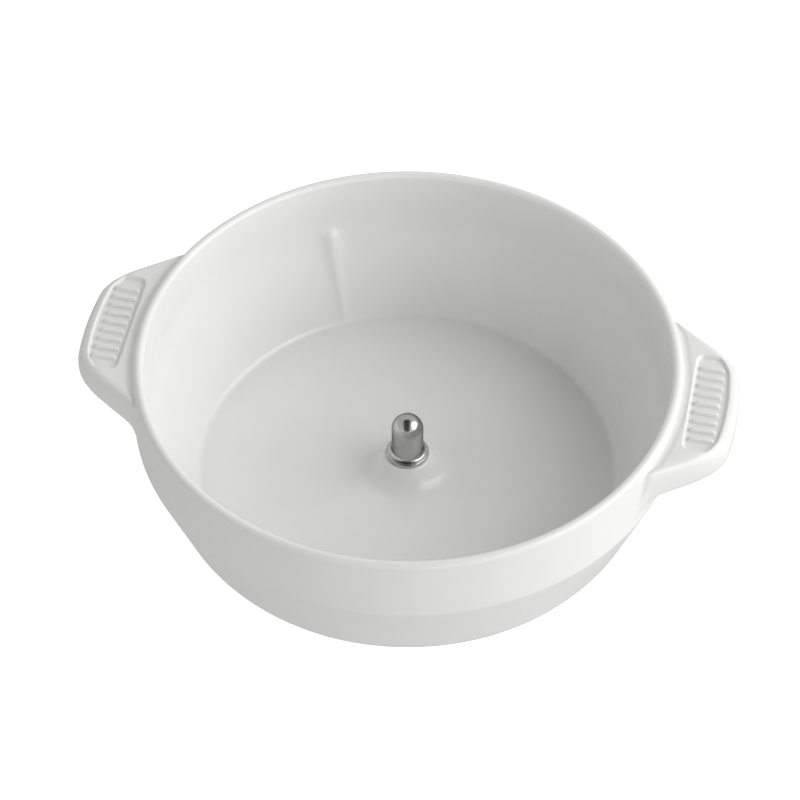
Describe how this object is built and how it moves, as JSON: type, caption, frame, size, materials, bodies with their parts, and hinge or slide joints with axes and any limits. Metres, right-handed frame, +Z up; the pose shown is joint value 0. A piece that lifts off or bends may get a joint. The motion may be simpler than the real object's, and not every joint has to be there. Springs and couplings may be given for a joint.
{
  "type": "two-handled ceramic dish with centre post",
  "caption": "Round flat-floored white ceramic dish with lug handles on opposite sides and a polished domed steel post bolted through a raised boss in its floor.",
  "frame": {"origin": "on the surface that the dish stands on, below the middle of the floor", "axes": "+Z up along the post, +X through the middle of one handle, +Y to its left"},
  "size_m": [0.182, 0.1516, 0.0515],
  "materials": {
    "glaze": "glossy",
    "polished_steel": "polished",
    "plain_steel": "satin",
    "spring_steel": "satin",
    "silicone": "matte"
  },
  "bodies": {
    "root": {"dish": "glaze", "center_post": "polished_steel", "post_collar": "polished_steel", "collar_seal": "silicone", "boss_gasket": "silicone", "flat_washer": "plain_steel", "spring_washer": "spring_steel", "hex_nut": "plain_steel"}
  },
  "joints": []
}
